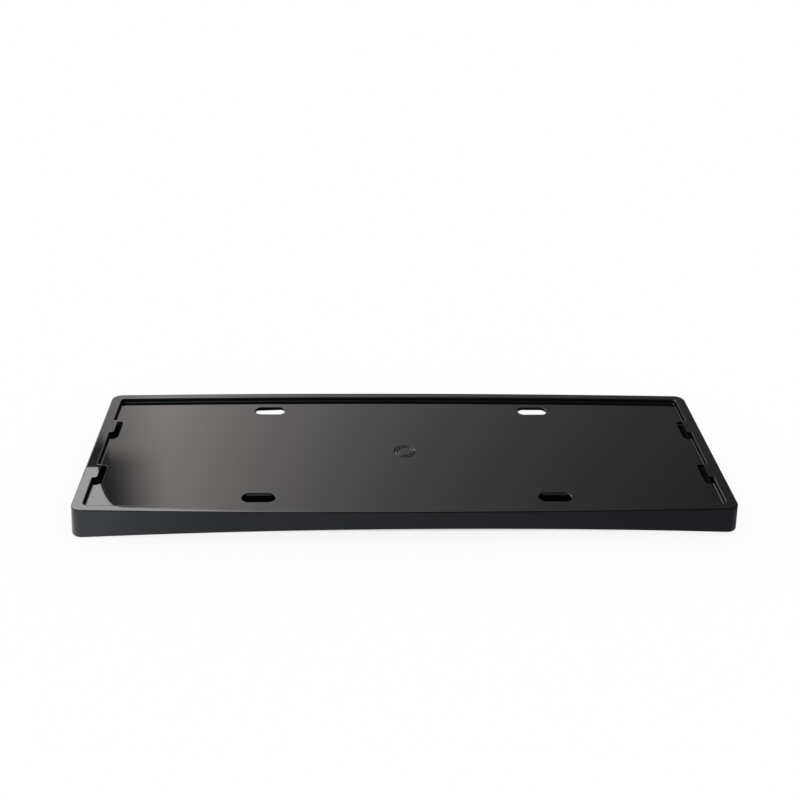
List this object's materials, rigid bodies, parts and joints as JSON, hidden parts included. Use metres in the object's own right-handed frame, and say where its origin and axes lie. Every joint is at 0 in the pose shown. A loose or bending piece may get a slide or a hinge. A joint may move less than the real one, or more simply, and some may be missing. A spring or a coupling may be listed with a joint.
{
  "type": "number plate holder",
  "caption": "Shallow rectangular moulded tray with raised rim, snap tabs, screw slots and arched skirt, which holds a car number plate.",
  "frame": {"origin": "middle of the holder's outline, on the plane that the deeper end of its skirt stands on", "axes": "+X along the plate, +Y across it, +Z out of the recess, away from the car"},
  "size_m": [0.4641, 0.163, 0.0216],
  "materials": {
    "gloss_black_abs": "high-gloss moulded black"
  },
  "bodies": {
    "root": {"plate_holder": "gloss_black_abs"}
  },
  "joints": []
}
